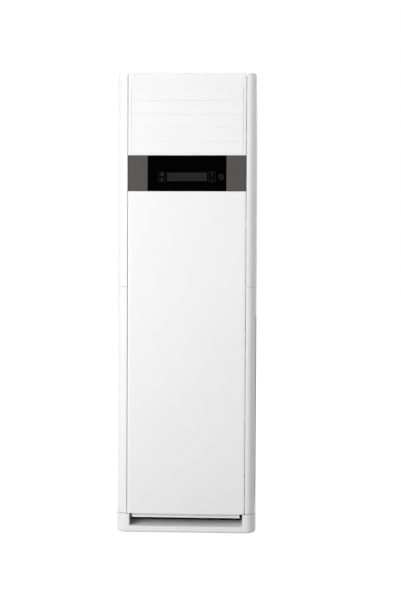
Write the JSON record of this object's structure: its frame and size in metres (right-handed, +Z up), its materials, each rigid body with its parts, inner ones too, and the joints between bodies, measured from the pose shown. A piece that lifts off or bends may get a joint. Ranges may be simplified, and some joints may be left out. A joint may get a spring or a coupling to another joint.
{
  "type": "floor standing air conditioner",
  "caption": "Tall floor standing air conditioner indoor unit with swinging louvres, control band, plain lower panel, side intakes and a plinth with an air slot.",
  "frame": {"origin": "on the floor under the middle of the unit's plan", "axes": "+X to the right of someone who faces the unit, -Y its front, +Z up"},
  "size_m": [0.55, 0.33, 1.8],
  "materials": {
    "white_moulding": "white moulded plastic, satin gloss",
    "painted_steel": "white powder coat on sheet steel",
    "zinc_steel": "zinc coated sheet steel",
    "grey_moulding": "dark grey moulded plastic, fine matt",
    "black_acrylic": "gloss black acrylic",
    "smoked_acrylic": "smoked acrylic over the display",
    "rubber": "black rubber",
    "screw_steel": "plated steel",
    "filter_mesh": "fine plastic mesh",
    "circuit_board": "green circuit board",
    "inner_moulding": "pale grey moulded plastic",
    "motor_steel": "grey painted motor shell",
    "aluminium_fin": "bare aluminium fins",
    "copper": "bare copper tube",
    "brass": "turned brass"
  },
  "bodies": {
    "cabinet": {"plinth": "white_moulding", "base_tray": "zinc_steel", "rubber_feet": "rubber", "right_lower_pillar": "white_moulding", "left_lower_pillar": "white_moulding", "right_upper_pillar": "white_moulding", "left_upper_pillar": "white_moulding", "top_cover": "white_moulding", "right_side_panel": "painted_steel", "left_side_panel": "painted_steel", "rear_panel": "zinc_steel", "rear_grommets": "rubber", "rear_screws": "screw_steel", "front_panel": "white_moulding", "control_band": "grey_moulding", "display_fascia": "black_acrylic", "display_window": "smoked_acrylic", "display_board": "circuit_board", "outlet_frame": "white_moulding", "louvre_motor": "motor_steel", "vane_motor": "motor_steel", "volute_casing": "zinc_steel", "inlet_plate": "zinc_steel", "fan_motor": "motor_steel", "fan_deck": "zinc_steel", "drain_pan": "inner_moulding", "evaporator_fins": "aluminium_fin", "evaporator_ends": "zinc_steel", "return_bends": "copper", "gas_pipe": "copper", "liquid_pipe": "copper", "flare_nuts": "brass", "control_box": "zinc_steel", "control_box_lid": "zinc_steel", "main_board": "circuit_board"},
    "louvre_1": {"louvre_1": "white_moulding"},
    "louvre_2": {"louvre_2": "white_moulding"},
    "louvre_3": {"louvre_3": "white_moulding"},
    "louvre_4": {"louvre_4": "white_moulding"},
    "louvre_5": {"louvre_5": "white_moulding"},
    "louvre_link": {"louvre_link": "inner_moulding"},
    "louvre_crank": {"louvre_crank": "inner_moulding"},
    "vane_1": {"vane_1": "inner_moulding"},
    "vane_2": {"vane_2": "inner_moulding"},
    "vane_3": {"vane_3": "inner_moulding"},
    "vane_4": {"vane_4": "inner_moulding"},
    "vane_5": {"vane_5": "inner_moulding"},
    "vane_link": {"vane_link": "inner_moulding"},
    "blower": {"blower_wheel": "inner_moulding", "motor_shaft": "screw_steel", "wheel_nut": "screw_steel"},
    "mode_key": {"mode_key": "black_acrylic"},
    "fan_key": {"fan_key": "black_acrylic"},
    "raise_key": {"raise_key": "black_acrylic"},
    "lower_key": {"lower_key": "black_acrylic"},
    "power_key": {"power_key": "black_acrylic"},
    "right_intake": {"right_intake_grille": "white_moulding", "right_air_filter": "filter_mesh"},
    "left_intake": {"left_intake_grille": "white_moulding", "left_air_filter": "filter_mesh"}
  },
  "joints": [
    {"name": "louvre_1_tilt", "type": "hinge", "parent": "cabinet", "child": "louvre_1", "pos_m": [0, -0.152, 1.7202], "axis": [-1, 0, 0], "range_deg": [0, 90]},
    {"name": "louvre_2_tilt", "type": "hinge", "parent": "cabinet", "child": "louvre_2", "pos_m": [0, -0.152, 1.6666], "axis": [-1, 0, 0], "range_deg": [0, 90]},
    {"name": "louvre_3_tilt", "type": "hinge", "parent": "cabinet", "child": "louvre_3", "pos_m": [0, -0.152, 1.613], "axis": [-1, 0, 0], "range_deg": [0, 90]},
    {"name": "louvre_4_tilt", "type": "hinge", "parent": "cabinet", "child": "louvre_4", "pos_m": [0, -0.152, 1.5594], "axis": [-1, 0, 0], "range_deg": [0, 90]},
    {"name": "louvre_5_tilt", "type": "hinge", "parent": "cabinet", "child": "louvre_5", "pos_m": [0, -0.152, 1.51185], "axis": [-1, 0, 0], "range_deg": [0, 90]},
    {"name": "louvre_crank_turn", "type": "hinge", "parent": "cabinet", "child": "louvre_crank", "pos_m": [-0.2285, -0.122, 1.613], "axis": [-1, 0, 0], "range_deg": [0, 90]},
    {"name": "louvre_link_pin", "type": "hinge", "parent": "louvre_1", "child": "louvre_link", "pos_m": [-0.2203, -0.138, 1.7342], "axis": [-1, 0, 0], "range_deg": [-90, 0]},
    {"name": "vane_1_swing", "type": "hinge", "parent": "cabinet", "child": "vane_1", "pos_m": [-0.168, -0.092, 1.62], "axis": [0, 0, 1], "range_deg": [-35, 35]},
    {"name": "vane_2_swing", "type": "hinge", "parent": "cabinet", "child": "vane_2", "pos_m": [-0.084, -0.092, 1.62], "axis": [0, 0, 1], "range_deg": [-35, 35]},
    {"name": "vane_3_swing", "type": "hinge", "parent": "cabinet", "child": "vane_3", "pos_m": [0, -0.092, 1.62], "axis": [0, 0, 1], "range_deg": [-35, 35]},
    {"name": "vane_4_swing", "type": "hinge", "parent": "cabinet", "child": "vane_4", "pos_m": [0.084, -0.092, 1.62], "axis": [0, 0, 1], "range_deg": [-35, 35]},
    {"name": "vane_5_swing", "type": "hinge", "parent": "cabinet", "child": "vane_5", "pos_m": [0.168, -0.092, 1.62], "axis": [0, 0, 1], "range_deg": [-35, 35]},
    {"name": "vane_link_pin", "type": "hinge", "parent": "vane_1", "child": "vane_link", "pos_m": [-0.168, -0.066, 1.491], "axis": [0, 0, 1], "range_deg": [-35, 35]},
    {"name": "blower_spin", "type": "hinge", "parent": "cabinet", "child": "blower", "pos_m": [-0.027, 0.018, 0.45], "axis": [0, 1, 0], "continuous": true},
    {"name": "mode_key_press", "type": "slide", "parent": "cabinet", "child": "mode_key", "axis": [0, 1, 0], "range_m": [0, 0.0008], "stiffness_N_per_m": 800},
    {"name": "fan_key_press", "type": "slide", "parent": "cabinet", "child": "fan_key", "axis": [0, 1, 0], "range_m": [0, 0.0008], "stiffness_N_per_m": 800},
    {"name": "raise_key_press", "type": "slide", "parent": "cabinet", "child": "raise_key", "axis": [0, 1, 0], "range_m": [0, 0.0008], "stiffness_N_per_m": 800},
    {"name": "lower_key_press", "type": "slide", "parent": "cabinet", "child": "lower_key", "axis": [0, 1, 0], "range_m": [0, 0.0008], "stiffness_N_per_m": 800},
    {"name": "power_key_press", "type": "slide", "parent": "cabinet", "child": "power_key", "axis": [0, 1, 0], "range_m": [0, 0.0008], "stiffness_N_per_m": 800},
    {"name": "right_intake_pull", "type": "slide", "parent": "cabinet", "child": "right_intake", "axis": [1, 0, 0], "range_m": [0, 0.06]},
    {"name": "left_intake_pull", "type": "slide", "parent": "cabinet", "child": "left_intake", "axis": [-1, 0, 0], "range_m": [0, 0.06]}
  ],
  "couplings": [
    {"joint": "louvre_2_tilt", "follows": "louvre_1_tilt", "ratio": 1},
    {"joint": "louvre_3_tilt", "follows": "louvre_1_tilt", "ratio": 1},
    {"joint": "louvre_4_tilt", "follows": "louvre_1_tilt", "ratio": 1},
    {"joint": "louvre_5_tilt", "follows": "louvre_1_tilt", "ratio": 1},
    {"joint": "louvre_crank_turn", "follows": "louvre_1_tilt", "ratio": 1},
    {"joint": "louvre_link_pin", "follows": "louvre_1_tilt", "ratio": -1},
    {"joint": "vane_2_swing", "follows": "vane_1_swing", "ratio": 1},
    {"joint": "vane_3_swing", "follows": "vane_1_swing", "ratio": 1},
    {"joint": "vane_4_swing", "follows": "vane_1_swing", "ratio": 1},
    {"joint": "vane_5_swing", "follows": "vane_1_swing", "ratio": 1},
    {"joint": "vane_link_pin", "follows": "vane_1_swing", "ratio": -1}
  ]
}
